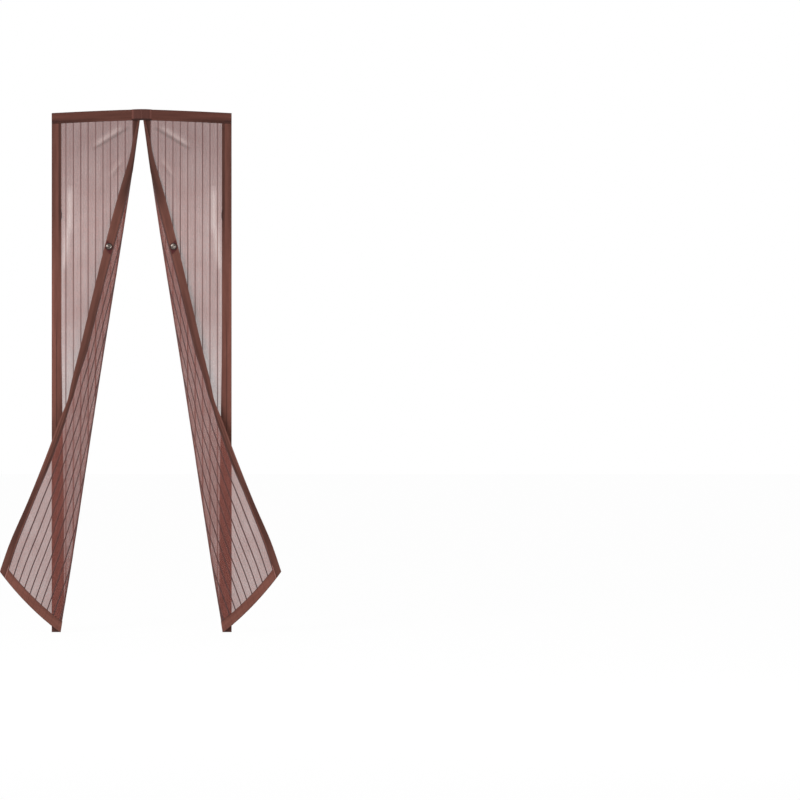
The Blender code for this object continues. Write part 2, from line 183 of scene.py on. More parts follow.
def fold_at(v):
    """Place of the fold across the cloth: straight but for a slight wave."""
    share = v / SCREEN_HEIGHT
    wave = WAVE_MEAN + WAVE_SWING * math.cos(2 * math.pi * (share - WAVE_CREST) / WAVE_PITCH)
    wave *= smooth_step(share / WAVE_FADE) * smooth_step((1 - share) / WAVE_FADE)
    return FOLD_TOP + (FOLD_FOOT - FOLD_TOP) * share + wave


def radius_at(v):
    share = v / SCREEN_HEIGHT
    opening = smooth_step((v - 2 * TOP_BAND) / (SCREEN_HEIGHT / 3))
    low = FOLD_RADIUS_TOP + (FOLD_RADIUS_LOW - FOLD_RADIUS_TOP) * opening
    return low + (FOLD_RADIUS_FOOT - low) * smooth_step(3 * share - 2)


def fold_start(v):
    return fold_at(v) - radius_at(v)


def fold_end(v):
    return fold_start(v) + math.pi * radius_at(v)


def curve_point(points, share):
    place_on = min(max(share, 0.0), 1.0) * (len(points) - 1)
    index = min(int(place_on), len(points) - 2)
    local = place_on - index
    before = points[max(index - 1, 0)]
    start, end = points[index], points[index + 1]
    after = points[min(index + 2, len(points) - 1)]
    slope_in = (end - before) / 2
    slope_out = (after - start) / 2
    square, cube = local * local, local ** 3
    return (start * (2 * cube - 3 * square + 1) + slope_in * (cube - 2 * square + local)
            + end * (3 * square - 2 * cube) + slope_out * (cube - square))


def edge_table():
    """The magnet edge of the left panel as (x, z), at evenly spaced drops of the cloth."""
    route = []
    for reach, share in EDGE_ROUTE:
        drop = share * SCREEN_HEIGHT
        fold = HALF_WIDTH - fold_start(drop)
        route.append(Vector((fold + reach * (PANEL_WIDTH - fold_end(drop)), drop)))
    steps = 4 * EDGE_TABLE_STEPS
    fine = [curve_point(route, step / steps) for step in range(steps + 1)]
    straight = EDGE_STRAIGHT_LENGTH
    lengths = [0.0]
    for one, two in zip(fine, fine[1:]):
        run = two - one
        lengths.append(lengths[-1] + (run.y if two.y < straight else run.length))
    slack = (lengths[-1] - straight) / (SCREEN_HEIGHT - straight)
    table, index = [], 0
    for step in range(EDGE_TABLE_STEPS + 1):
        v = SCREEN_HEIGHT * step / EDGE_TABLE_STEPS
        wanted = v if v < straight else straight + (v - straight) * slack
        while index < steps - 1 and lengths[index + 1] < wanted:
            index += 1
        span = lengths[index + 1] - lengths[index]
        spot = fine[index].lerp(fine[index + 1], (wanted - lengths[index]) / span)
        table.append(Vector((-spot.x, CORNER_TOP - spot.y)))
    return table


EDGE_TABLE = edge_table()


def middle_point(u, v):
    """Middle of the cloth for the left panel, before the arch and the ripples."""
    radius = radius_at(v)
    fold_x = -HALF_WIDTH + fold_at(v)
    z = CORNER_TOP - v
    start, end = fold_start(v), fold_end(v)
    if u <= start:
        return Vector((-HALF_WIDTH + u, -CLOTH_DEPTH, z))
    if u <= end:
        turn = (u - start) / radius
        return Vector((fold_x - radius + radius * math.sin(turn),
                       -CLOTH_DEPTH - radius + radius * math.cos(turn), z))
    top = Vector((fold_x - radius, -CLOTH_DEPTH - 2 * radius, z))
    share = v / SCREEN_HEIGHT
    lift = FLAP_LIFT * share * share
    edge = curve_point(EDGE_TABLE, share)
    tip = Vector((edge.x, top.y - lift, edge.y))
    chord = tip - top
    length = PANEL_WIDTH - end
    even = min(max(2 - length / chord.length, EDGE_SQUEEZE), 1.0)
    along = (u - end) / length
    along *= even + (1 - even) * along
    across = Vector((-chord.z, 0.0, chord.x)).normalized()
    knee = (top + tip) / 2 + across * FLAP_SAG * share ** 3 - Vector((0, lift / 6, 0))
    return top.lerp(knee, along).lerp(knee.lerp(tip, along), along)


def arch_at(x, v):
    reach = min(abs(x) / HALF_WIDTH, 1.0)
    below = max(v - TOP_BAND, 0.0)
    return ARCH_RISE * (1 - reach ** ARCH_POWER) * math.exp(-below / ARCH_FADE_LENGTH)


# Soft creases in the hanging cloth: ends as (u, v), height and width
CREASES = (
    ((0.310, 0.070), (0.180, 0.150), 0.0022, 0.010),
    ((0.290, 0.190), (0.235, 0.250), 0.0012, 0.009),
    ((0.055, 0.300), (0.062, 0.620), 0.0014, 0.012),
    ((0.075, 0.760), (0.068, 1.000), 0.0010, 0.012),
)


# Streaks where the cloth catches the light, and shaded ones: ends, width and strength
STREAKS = (
    ((0.286, 0.066), (0.168, 0.138), 0.0110, 0.40),
    ((0.284, 0.190), (0.232, 0.262), 0.0090, 0.22),
    ((0.074, 0.290), (0.070, 0.500), 0.0130, 0.60),
    ((0.068, 0.420), (0.049, 0.640), 0.0110, 0.62),
    ((0.045, 0.560), (0.045, 1.150), 0.0035, 0.20),
)
SHADES = (
    ((0.318, 0.068), (0.160, 0.156), 0.0060, 0.70),
    ((0.280, 0.214), (0.240, 0.270), 0.0060, 0.30),
)


def crease_height(u, v):
    total = 0.0
    for (u_one, v_one), (u_two, v_two), height, width in CREASES:
        run_u, run_v = u_two - u_one, v_two - v_one
        length = math.hypot(run_u, run_v)
        along = ((u - u_one) * run_u + (v - v_one) * run_v) / length ** 2
        if not 0 < along < 1:
            continue
        off = ((u - u_one) * run_v - (v - v_one) * run_u) / length
        total += height * math.sin(math.pi * along) ** 2 * math.exp(-(off / width) ** 2)
    return total


def ripple_at(u, v):
    """Small waves of the free cloth: none at the top band, the frame side and the fold."""
    below = smooth_step((v - TOP_BAND) / 0.12)
    if u < fold_start(v):
        inside = smooth_step((u - OUTER_BAND) / 0.04) * smooth_step((fold_start(v) - u) / 0.05)
        wave = 0.0009 * math.sin(38 * u + 1.7 * math.sin(3.1 * v))
        wave += 0.0006 * math.sin(9 * v + 20 * u)
        return inside * (below * wave + crease_height(u, v))
    free = smooth_step((u - fold_end(v)) / 0.06) * smooth_step((v - 0.5) / 0.8)
    wave = 0.0016 * math.sin(6.5 * v + 9 * u) + 0.0010 * math.sin(31 * u - 4 * v)
    return free * wave


def surface_point(u, v):
    point = middle_point(u, v)
    point.z += arch_at(point.x, v)
    return point


def eased(u, v):
    """Lets the magnet edge's band look wider or narrower where the real one curls."""
    wider = sum(share * smooth_step((v - start) / length) for start, length, share in BAND_CURLS)
    wider -= PINCH_SHARE * math.exp(-((v - PINCH_DROP) / PINCH_LENGTH) ** 2)
    near = smooth_step((u - INNER_START + CURL_REACH) / CURL_REACH)
    return u - wider * near * min(PANEL_WIDTH - u, INNER_BAND)


def drape(u, v, n):
    """Bends a place of the flat cloth, at height n over its middle, into the hung one."""
    u = eased(u, v)
    step = 0.0002
    along = surface_point(u + step, v) - surface_point(u - step, v)
    down = surface_point(u, v + step) - surface_point(u, v - step)
    normal = down.cross(along).normalized()
    return surface_point(u, v) + normal * (n + ripple_at(u, v))


# Building flat solids and finishing them as pieces

def closed_loft(rings):
    made = bmesh.new()
    rings = [[made.verts.new(point) for point in ring] for ring in rings]
    count = len(rings[0])
    for ring, following in zip(rings, rings[1:]):
        for index in range(count):
            after = (index + 1) % count
            made.faces.new((ring[index], ring[after], following[after], following[index]))
    made.faces.new(list(reversed(rings[0])))
    made.faces.new(rings[-1])
    return made


def swept_solid(profile, stations, along_v=True):
    rings = []
    for station in stations:
        ring = [(across, station, n) if along_v else (station, across, n) for across, n in profile]
        rings.append(ring)
    return closed_loft(rings)


def cut_along(made, curve):
    for vert in made.verts:
        vert.co.x -= curve(vert.co.y)
    bmesh.ops.bisect_plane(
        made, geom=made.verts[:] + made.edges[:] + made.faces[:], dist=1e-6,
        plane_co=(0, 0, 0), plane_no=(1, 0, 0))
    for vert in made.verts:
        vert.co.x += curve(vert.co.y)


def cut_at_fold(made):
    for step in range(FOLD_STEPS + 1):
        def line(v, turn=math.pi * step / FOLD_STEPS):
            return fold_start(v) + turn * radius_at(v)
        cut_along(made, line)


def store_cloth_map(made, flat=lambda spot: (spot.x, spot.y)):
    """Keeps the flat (u, v) of every corner, in metres, as the UV map."""
    layer = made.loops.layers.uv.new("cloth")
    for face in made.faces:
        for loop in face.loops:
            loop[layer].uv = flat(loop.vert.co)


def bend(made, shape):
    for vert in made.verts:
        vert.co = shape(*vert.co)


def finish_piece(name, made, surface, slot_name, replaced=()):
    if made.calc_volume(signed=True) < 0:
        bmesh.ops.reverse_faces(made, faces=made.faces)
    mesh = bpy.data.meshes.new(name)
    made.to_mesh(mesh)
    made.free()
    mesh.shade_smooth()
    mesh.set_sharp_from_angle(angle=math.radians(SHARP_ANGLE))
    piece = bpy.data.objects.new(name, mesh)
    bpy.context.scene.collection.objects.link(piece)
    piece.data.materials.append(surface)
    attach(piece, "root")
    if replaced:
        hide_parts(*replaced)
    return piece


def mirrored_copy(made):
    copy = made.copy()
    for vert in copy.verts:
        vert.co.x = -vert.co.x
    return copy


def finish_pair(name, made, surface, slot_name, replaced=()):
    """Finishes a left piece and its mirror image on the right."""
    pair = []
    other = mirrored_copy(made)
    for side, mesh in (("left", made), ("right", other)):
        nodes = [f"{side}_{node}" for node in replaced]
        pair.append(finish_piece(f"{side}_{name}", mesh, surface, slot_name, nodes))
    return pair


def steps_between(start, end, step):
    count = max(1, round((end - start) / step))
    return [start + (end - start) * index / count for index in range(count + 1)]


# Materials

def new_surface(name):
    surface = bpy.data.materials.new(name)
    surface.use_nodes = True
    tree = surface.node_tree
    return surface, tree, tree.nodes["Principled BSDF"]


def feed(tree, node, values):
    """Fills sockets, by name or number, with a number, a colour or another node's output."""
    for key, value in values.items():
        if isinstance(value, (int, float)):
            node.inputs[key].default_value = value
        elif isinstance(value, tuple):
            node.inputs[key].default_value = (*value, 1.0)
        else:
            tree.links.new(value, node.inputs[key])


def math_node(tree, operation, *values, clamp=False):
    node = tree.nodes.new("ShaderNodeMath")
    node.operation = operation
    node.use_clamp = clamp
    feed(tree, node, dict(enumerate(values)))
    return node.outputs[0]


def times(tree, one, two):
    return math_node(tree, "MULTIPLY", one, two)


def plus(tree, one, two):
    return math_node(tree, "ADD", one, two)


def minus(tree, one, two):
    return math_node(tree, "SUBTRACT", one, two)


def blend(tree, share, one, two):
    """One at share 0 and two at share 1."""
    return math_node(tree, "MULTIPLY_ADD", share, minus(tree, two, one), one)


def cloth_axes(tree):
    uv = tree.nodes.new("ShaderNodeUVMap")
    uv.uv_map = "cloth"
    split = tree.nodes.new("ShaderNodeSeparateXYZ")
    feed(tree, split, {0: uv.outputs[0]})
    return uv.outputs[0], split.outputs[0], split.outputs[1]


def wave_of(tree, coordinate, pitch, power=1.0):
    """A 0 to 1 wave along a coordinate, one crest a pitch."""
    wave = math_node(tree, "SINE", times(tree, coordinate, 2 * math.pi / pitch))
    level = math_node(tree, "MULTIPLY_ADD", wave, 0.5, 0.5)
    if power != 1.0:
        level = math_node(tree, "POWER", level, power)
    return level


def noise_of(tree, vector, scale, detail=2.0):
    node = tree.nodes.new("ShaderNodeTexNoise")
    feed(tree, node, {"Scale": scale, "Detail": detail, "Vector": vector})
    return node.outputs["Fac"]


def mix_colour(tree, factor, one, two):
    node = tree.nodes.new("ShaderNodeMix")
    node.data_type = "RGBA"
    feed(tree, node, {"Factor": factor, "A": one, "B": two})
    return node.outputs["Result"]


def map_range(tree, value, low, high, to_low, to_high):
    node = tree.nodes.new("ShaderNodeMapRange")
    feed(tree, node, {"Value": value, "From Min": low, "From Max": high, "To Min": to_low,
                      "To Max": to_high})
    return node.outputs[0]


def add_bump(tree, shader, height, distance):
    bump = tree.nodes.new("ShaderNodeBump")
    feed(tree, bump, {"Distance": distance, "Height": height})
    feed(tree, shader, {"Normal": bump.outputs[0]})


TAPE_LIGHT, TAPE_DARK = (0.088, 0.033, 0.0245), (0.068, 0.0240, 0.0175)
BAND_LIGHT, BAND_DARK = (0.088, 0.030, 0.0215), (0.070, 0.0228, 0.0158)
PATCH_LIGHT, PATCH_DARK = (0.082, 0.029, 0.0225), (0.066, 0.0225, 0.0170)

# Brightness across each tape, in stops of (share, level), with painted highlight and painted shade
# on the rounded, curling tapes. The rows after the first take over further along the tape, between
# the two places that they start with.
# Outer tape: painted highlight along its outer edge and painted shade on its inner strip, the shade
# widest near the top band; lower rows shift these lit and shaded stripes and darken the tape low
# down.
OUTER_STOPS = (
    ((0.0, 0.48), (0.10, 0.50), (0.50, 0.66), (0.68, 0.68), (0.74, 0.34), (0.96, 0.36), (1.0, 0.50)),
    (0.40, 0.70, ((0.0, 0.95), (0.15, 1.00), (0.30, 0.78), (0.60, 0.78), (0.90, 0.76), (1.0, 0.66))),
    (0.82, 0.92, ((0.0, 0.92), (0.28, 0.94), (0.42, 0.90), (0.48, 0.46), (0.54, 0.50), (0.60, 0.84),
                  (0.86, 0.76), (1.0, 0.66))),
    (1.22, 1.40, ((0.0, 0.46), (0.30, 0.44), (0.60, 0.44), (1.0, 0.46))),
)
# Inner tape: painted shade mostly on its mouth side and painted highlight lines along it, changing
# down the tape as it curls; the last row is the pale locking thread over the hem, in its own colour.
INNER_STOPS = (
    ((0.0, 0.37), (0.12, 0.28), (0.35, 0.30), (0.50, 0.40), (0.90, 0.48), (1.0, 0.52)),
    (0.33, 0.45, ((0.0, 0.62), (0.12, 0.62), (0.20, 0.90), (0.28, 0.64), (0.85, 0.68), (1.0, 0.80))),
    (0.66, 0.90, ((0.0, 0.44), (0.30, 0.42), (0.42, 0.52), (0.55, 0.62), (0.90, 0.62), (1.0, 0.72))),
    (1.22, 1.36, ((0.0, 0.34), (0.30, 0.38), (0.38, 0.90), (0.46, 0.58), (0.70, 0.56), (0.80, 0.92),
                  (1.0, 0.80))),
    (1.60, 1.75, ((0.0, 0.95), (0.10, 0.85), (0.22, 0.46), (0.45, 0.38), (0.75, 0.40), (0.90, 0.48),
                  (1.0, 0.62))),
    (1.92, 2.00, ((0.0, 0.64), (0.30, 0.56), (0.60, 0.60), (0.90, 0.66), (1.0, 0.72))),
    (2.035, 2.045, ((0.0, 1.60), (0.09, 1.60), (0.14, 0.56), (0.60, 0.60), (1.0, 0.70))),
)
BOTTOM_STOPS = (
    ((0.0, 0.33), (0.08, 0.88), (0.40, 1.00), (0.75, 0.98), (0.92, 1.00), (1.0, 0.55)),
)
# Top band: the second row paints a shadow along the band's lower edge, towards both ends.
BAND_STOPS = (
    ((0.0, 0.36), (0.10, 0.46), (0.50, 0.43), (0.62, 0.50), (0.75, 0.42), (0.90, 0.50), (1.0, 0.38)),
    (0.12, 0.30, ((0.0, 0.34), (0.10, 0.46), (0.40, 0.56), (0.50, 0.46), (0.68, 0.38), (0.80, 0.24),
                  (1.0, 0.22))),
)
# Centre patch: lighter along its two sides; the second row paints a shadow on its lower end.
PATCH_STOPS = (
    ((0.0, 0.72), (0.08, 0.68), (0.11, 0.46), (0.46, 0.46), (0.50, 0.54), (0.54, 0.46), (0.89, 0.46),
     (0.92, 0.68), (1.0, 0.72)),
    (TOP_BAND - 0.0080, TOP_BAND - 0.0060, ((0.0, 0.18), (1.0, 0.18))),
)


# Colours of the net's cloth, of its painted sheen and painted shade, of the dark strip beside
# the outer tape, then of its ribs
NET_LIGHT = (0.205, 0.062, 0.048)
NET_DARK = (0.160, 0.044, 0.033)
NET_HIGH = (0.140, 0.066, 0.062)
NET_PAINTED_SHEEN = (0.520, 0.380, 0.350)
NET_SHADE = (0.085, 0.052, 0.048)
NET_EDGE_STRIP = (0.096, 0.035, 0.027)
RIB_COLOUR = (0.085, 0.028, 0.025)
RIB_BACK = (0.042, 0.022, 0.022)

# How dense the net is, from 0 to 1, and what is added where the name says
HOLE_ALPHA = 0.32
THREAD_ALPHA = 0.60
RIB_ALPHA = 0.84
EDGE_STRIP_ALPHA = 0.95
FLAP_RIB_CHANGE = 0.10
TOP_CHANGE = 0.15
LOW_CHANGE = -0.130
FOLD_CHANGE = 0.26
SHEEN_CHANGE = -0.10
SHADE_CHANGE = 0.16

MESH_PITCH = 0.0016
TAPE_RIB_PITCH = 0.0011
TWILL_PITCH = 0.0021
EDGE_STRIP_REACH = 0.0110
TOP_ZONE = (0.10, 0.45)


def grey_ramp(tree, value, stops):
    """Brightness along a 0 to 1 value, from (place, level) stops."""
    ramp = tree.nodes.new("ShaderNodeValToRGB")
    feed(tree, ramp, {0: value})
    elements = ramp.color_ramp.elements
    while len(elements) < len(stops):
        elements.new(0.5)
    for element, (spot, level) in zip(elements, stops):
        element.position = spot
        element.color = (level, level, level, 1.0)
    return ramp.outputs[0]


def stretched(tree, u, v, scale_u, scale_v):
    """A lookup vector of the cloth's own axes, each with its own scale."""
    join = tree.nodes.new("ShaderNodeCombineXYZ")
    feed(tree, join, {0: times(tree, u, scale_u), 1: times(tree, v, scale_v)})
    return join.outputs[0]


def colour_times(tree, colour, level):
    node = tree.nodes.new("ShaderNodeVectorMath")
    node.operation = "MULTIPLY"
    feed(tree, node, {0: colour, 1: level})
    return node.outputs[0]


def line_mask(tree, u, v, one, two, width, strength):
    """Soft streak along a line between two places of the cloth."""
    run_u, run_v = two[0] - one[0], two[1] - one[1]
    length = math.hypot(run_u, run_v)
    du, dv = minus(tree, u, one[0]), minus(tree, v, one[1])
    along = plus(tree, times(tree, du, run_u / length ** 2), times(tree, dv, run_v / length ** 2))
    off = minus(tree, times(tree, du, run_v / length), times(tree, dv, run_u / length))
    near = math_node(tree, "POWER", times(tree, off, 1 / width), 2.0)
    fade = math_node(tree, "EXPONENT", times(tree, near, -1.0))
    held = math_node(tree, "ABSOLUTE", minus(tree, times(tree, along, 2.0), 1.0))
    ends = math_node(tree, "SUBTRACT", 1.0, math_node(tree, "POWER", held, 4.0), clamp=True)
    return times(tree, times(tree, fade, ends), strength)


def streak_mask(tree, u, v, streaks):
    total = None
    for one, two, width, strength in streaks:
        mask = line_mask(tree, u, v, one, two, width, strength)
        total = mask if total is None else math_node(tree, "MAXIMUM", total, mask)
    return total


def rib_distance(tree, coordinate):
    """Distance from the middle of the nearest rib."""
    shifted = minus(tree, coordinate, FIRST_RIB - RIB_PITCH / 2)
    local = math_node(tree, "FLOORED_MODULO", shifted, RIB_PITCH)
    return math_node(tree, "ABSOLUTE", minus(tree, local, RIB_PITCH / 2))


def fold_masks(tree, u, v):
    """Distance past the fold's line, and a mask that is 1 over the flap."""
    slope = (FOLD_FOOT - FOLD_TOP) / SCREEN_HEIGHT
    line = math_node(tree, "MULTIPLY_ADD", v, slope, FOLD_TOP + 0.5 * FOLD_RADIUS_LOW)
    past = minus(tree, u, line)
    return past, map_range(tree, past, -0.012, 0.004, 0.0, 1.0)


def rib_mask(tree, u, v, flap):
    """1 on a rib: worn in places, but whole on the flap and wider on its upper part."""
    wide = times(tree, flap, map_range(tree, v, 0.95, 1.30, -0.0008, 0.0))
    off = plus(tree, rib_distance(tree, u), wide)
    rib = map_range(tree, off, RIB_WIDTH / 2, RIB_WIDTH / 2 + 0.0012, 1.0, 0.0)
    worn = noise_of(tree, stretched(tree, u, v, 13.0, 1.5), 1.0, 1.0)
    worn = math_node(tree, "MAXIMUM", map_range(tree, worn, 0.3, 0.7, 0.55, 1.0),
                     times(tree, flap, 0.95))
    return times(tree, rib, worn)


def open_alpha(tree, vector, u, v, threads, flap):
    """Density between the ribs: uneven, and thinner low down on the hanging part."""
    alpha = map_range(tree, threads, 0.0, 1.0, HOLE_ALPHA, THREAD_ALPHA)
    for grain, change in (
            (noise_of(tree, vector, 210.0, 2.0), 0.22),
            (noise_of(tree, stretched(tree, u, v, 160.0, 2.5), 1.0, 3.0), 0.14),
            (noise_of(tree, vector, 7.0, 2.0), 0.16)):
        uneven = math_node(tree, "MULTIPLY_ADD", grain, change, -change / 2)
        alpha = plus(tree, alpha, uneven)
    alpha = plus(tree, alpha, map_range(tree, v, *TOP_ZONE, TOP_CHANGE, 0.0))
    low = map_range(tree, v, 0.80, 1.15, 0.0, LOW_CHANGE)
    return plus(tree, alpha, times(tree, low, minus(tree, 1.0, flap)))


def net_cloth():
    """Sheer knitted mesh with a dense rib woven in at every stripe."""
    surface, tree, shader = new_surface("brown_mesh")
    vector, u, v = cloth_axes(tree)
    past_fold, flap = fold_masks(tree, u, v)
    # Denser and darker along the fold's line.
    fold_line = map_range(tree, math_node(tree, "ABSOLUTE", past_fold), 0.005, 0.013, 1.0, 0.0)
    rib = rib_mask(tree, u, v, flap)
    threads = math_node(tree, "MAXIMUM", wave_of(tree, u, MESH_PITCH, 2.0),
                        wave_of(tree, v, MESH_PITCH, 2.0))
    # Painted sheen streaks thin and pale the net; painted shade lines thicken and darken it.
    pale, shaded = streak_mask(tree, u, v, STREAKS), streak_mask(tree, u, v, SHADES)
    # Dense strip of net in the tape's colour beside the outer tape, widening low down, so that the
    # tape looks wider there.
    reach = map_range(tree, v, 0.90, 1.60, OUTER_SHOWN, OUTER_SHOWN + EDGE_STRIP_REACH)
    edge_strip = map_range(tree, minus(tree, reach, u), 0.0, 0.0015, 0.0, 1.0)

    full = math_node(tree, "MULTIPLY_ADD", flap, FLAP_RIB_CHANGE, RIB_ALPHA)
    alpha = blend(tree, rib, open_alpha(tree, vector, u, v, threads, flap), full)
    alpha = math_node(tree, "MULTIPLY_ADD", fold_line, FOLD_CHANGE, alpha, clamp=True)
    alpha = plus(tree, alpha, times(tree, pale, SHEEN_CHANGE))
    alpha = plus(tree, alpha, times(tree, shaded, SHADE_CHANGE))
    alpha = blend(tree, edge_strip, alpha, EDGE_STRIP_ALPHA)

    base = mix_colour(tree, noise_of(tree, vector, 22.0), NET_DARK, NET_LIGHT)
    base = mix_colour(tree, map_range(tree, v, *TOP_ZONE, 0.8, 0.0), base, NET_HIGH)
    base = mix_colour(tree, times(tree, pale, 0.6), base, NET_PAINTED_SHEEN)
    base = mix_colour(tree, shaded, base, NET_SHADE)
    # Ribs fade under the painted sheen.
    kept = math_node(tree, "MULTIPLY_ADD", pale, -0.6, 1.0)
    dark = math_node(tree, "MAXIMUM", times(tree, rib, kept), times(tree, fold_line, 0.6))
    base = mix_colour(tree, dark, base, mix_colour(tree, flap, RIB_COLOUR, RIB_BACK))
    base = mix_colour(tree, edge_strip, base, NET_EDGE_STRIP)
    feed(tree, shader, {"Base Color": base, "Alpha": alpha, "Roughness": 0.62,
                        "Specular IOR Level": 0.25, "Sheen Weight": 0.08,
                        "Sheen Roughness": 0.45, "Sheen Tint": (0.80, 0.55, 0.50)})
    add_bump(tree, shader, threads, 0.0002)
    return surface


def tape_cloth(name, light, dark, start, width, along_v, stops, ticks=0.0):
    """Ribbed binding tape: painted light and shade in stops across it, later ones along it."""
    surface, tree, shader = new_surface(name)
    _, u, v = cloth_axes(tree)
    across, along = (u, v) if along_v else (v, u)
    ribs = wave_of(tree, along, TAPE_RIB_PITCH, 1.5)
    twill = wave_of(tree, plus(tree, along, across), TWILL_PITCH)
    wide, long = (70.0, 9.0) if along_v else (9.0, 70.0)
    cloudy = noise_of(tree, stretched(tree, u, v, wide, long), 1.0, 3.0)
    share = map_range(tree, across, start, start + width, 0.0, 1.0)
    level = grey_ramp(tree, share, stops[0])
    distance = math_node(tree, "ABSOLUTE", along)
    for first, last, later in stops[1:]:
        changed = map_range(tree, distance, first, last, 0.0, 1.0)
        level = mix_colour(tree, changed, level, grey_ramp(tree, share, later))
    base = mix_colour(tree, map_range(tree, cloudy, 0.3, 0.7, 0.0, 1.0), dark, light)
    shade = math_node(tree, "MULTIPLY_ADD", ribs, 0.50, 1.62)
    if ticks:
        tick = map_range(tree, rib_distance(tree, along), 0.0012, 0.0030, ticks, 0.0)
        shade = times(tree, shade, minus(tree, 1.0, tick))
    base = colour_times(tree, colour_times(tree, base, level), shade)
    feed(tree, shader, {"Base Color": base, "Roughness": 0.80, "Specular IOR Level": 0.15,
                        "Sheen Weight": 0.03, "Sheen Roughness": 0.5,
                        "Sheen Tint": (0.80, 0.50, 0.42)})
    add_bump(tree, shader, plus(tree, ribs, times(tree, twill, 0.5)), 0.00025)
    return surface


def plain_surface(name, colour, roughness, metallic=0.0, cloud=0.15, scale=600.0, bump=0.0001):
    """Small-part finish: a colour with fine cloudiness and a slight grain."""
    surface, tree, shader = new_surface(name)
    place_in = tree.nodes.new("ShaderNodeTexCoord").outputs["Object"]
    grain = noise_of(tree, place_in, scale, 3.0)
    dark = tuple(part * (1 - cloud) for part in colour)
    light = tuple(min(part * (1 + cloud), 1.0) for part in colour)
    rough = map_range(tree, grain, 0.2, 0.8, roughness * 0.85, min(roughness * 1.15, 1.0))
    feed(tree, shader, {"Base Color": mix_colour(tree, grain, dark, light), "Roughness": rough,
                        "Metallic": metallic, "Specular IOR Level": 0.2})
    add_bump(tree, shader, grain, bump)
    return surface


# Net panels

def net_face():
    """Height of the net's face along u, with a rounded rib at each stripe."""
    marks = [(OUTER_BAND - NET_INSERT, 0.0), (OUTER_BAND, 0.0)]
    u = FIRST_RIB
    while u < INNER_START - RIB_WIDTH:
        for part in RIB_SHAPE:
            marks.append((u + RIB_WIDTH / 2 * part, RIB_HEIGHT * (1 - part * part)))
        u += RIB_PITCH
    marks += [(INNER_START, 0.0), (INNER_START + NET_INSERT, 0.0)]
    filled = [marks[0]]
    for one, two in zip(marks, marks[1:]):
        gap = two[0] - one[0]
        if gap > RIB_WIDTH:
            filled += [(one[0] + gap * share, 0.0) for share in (0.25, 0.5, 0.75)]
        filled.append(two)
    return [(u, NET_HALF + height) for u, height in filled]


def make_nets(surface):
    face = net_face()
    profile = face + [(u, -n) for u, n in reversed(face)]
    net = swept_solid(profile, steps_between(NET_TOP_GAP, NET_FOOT, ROW_STEP))
    cut_at_fold(net)
    store_cloth_map(net)
    bend(net, drape)
    return finish_pair("mesh_panel", net, surface, "net", ["net"])


# Bindings

def tape_face(mouth, crease):
    """Face of a folded tape from its mouth to its crease, with a sewn groove near both."""
    width = abs(crease - mouth)
    sign = 1 if crease > mouth else -1
    marks = [(0.0, TAPE_HALF - TAPE_THICKNESS * 0.7), (0.0004, TAPE_HALF - 0.0001),
             (0.0014, TAPE_HALF)]
    for seam in (SEAM_INSET, width - SEAM_INSET):
        for part, depth in GROOVE_SHAPE:
            marks.append((seam + GROOVE_WIDTH / 2 * part, TAPE_HALF - GROOVE_DEPTH * depth))
    middle = width / 2
    marks += [(middle - width / 5, TAPE_HALF), (middle, TAPE_HALF), (middle + width / 5, TAPE_HALF)]
    for turn in (90, 60, 30, 0):
        angle = math.radians(turn)
        marks.append((width - TAPE_HALF + TAPE_HALF * math.cos(angle), TAPE_HALF * math.sin(angle)))
    marks.sort(key=lambda mark: mark[0])
    return [(mouth + sign * across, n) for across, n in marks]


def tape_profile(mouth, crease):
    """Closed section of a tape folded in two, hollow for the net's edge and the magnets."""
    face = tape_face(mouth, crease)
    sign = 1 if crease > mouth else -1
    inside = crease - sign * (TAPE_HALF + TAPE_THICKNESS / 2)
    outside = face + [(across, -n) for across, n in reversed(face[:-1])]
    return outside + [(mouth, -SLOT_HALF), (inside, -SLOT_HALF), (inside, SLOT_HALF),
                      (mouth, SLOT_HALF)]


def make_binding(name, mouth, crease, stations, surface, along_v=True):
    tape = swept_solid(tape_profile(mouth, crease), stations, along_v)
    for vert in tape.verts:
        if vert.co.y < TOP_BAND:
            vert.co.z *= TOP_SQUEEZE
    cut_at_fold(tape)
    store_cloth_map(tape)
    bend(tape, drape)
    return finish_pair(f"{name}_tape", tape, surface, "tape", [f"{name}_binding"])


def stitch_run(places, shape, height, skip=None, radius=STITCH_RADIUS):
    """A seam's stitches: short pointed threads lying along a row of (start, end) places."""
    made = bmesh.new()
    for start, end in places:
        if skip and skip(start, end):
            continue
        one, two = shape(*start, height), shape(*end, height)
        along = (two - one).normalized()
        out = (shape(*start, height + 0.001) - one).normalized()
        side = along.cross(out).normalized()
        ends = [made.verts.new(one), made.verts.new(two)]
        rings = []
        for share in STITCH_SHOULDERS:
            centre = one.lerp(two, share)
            ring = []
            for turn in range(STITCH_SIDES):
                angle = 2 * math.pi * turn / STITCH_SIDES
                ring.append(made.verts.new(centre + radius * (
                    side * math.cos(angle) + out * math.sin(angle))))
            rings.append(ring)
        for index in range(STITCH_SIDES):
            after = (index + 1) % STITCH_SIDES
            made.faces.new((ends[0], rings[0][after], rings[0][index]))
            made.faces.new((rings[0][index], rings[0][after], rings[1][after], rings[1][index]))
            made.faces.new((ends[1], rings[1][index], rings[1][after]))
    return made


def seam_places(fixed, first, last, along_v=True):
    """Stitch ends along v (or u) at a fixed u (or v)."""
    count = int((last - first) / STITCH_PITCH)
    places = []
    for index in range(count):
        start = first + (index + 0.5) * STITCH_PITCH - STITCH_LENGTH / 2
        end = start + STITCH_LENGTH
        if along_v:
            places.append(((fixed, start), (fixed, end)))
        else:
            places.append(((start, fixed), (end, fixed)))
    return places


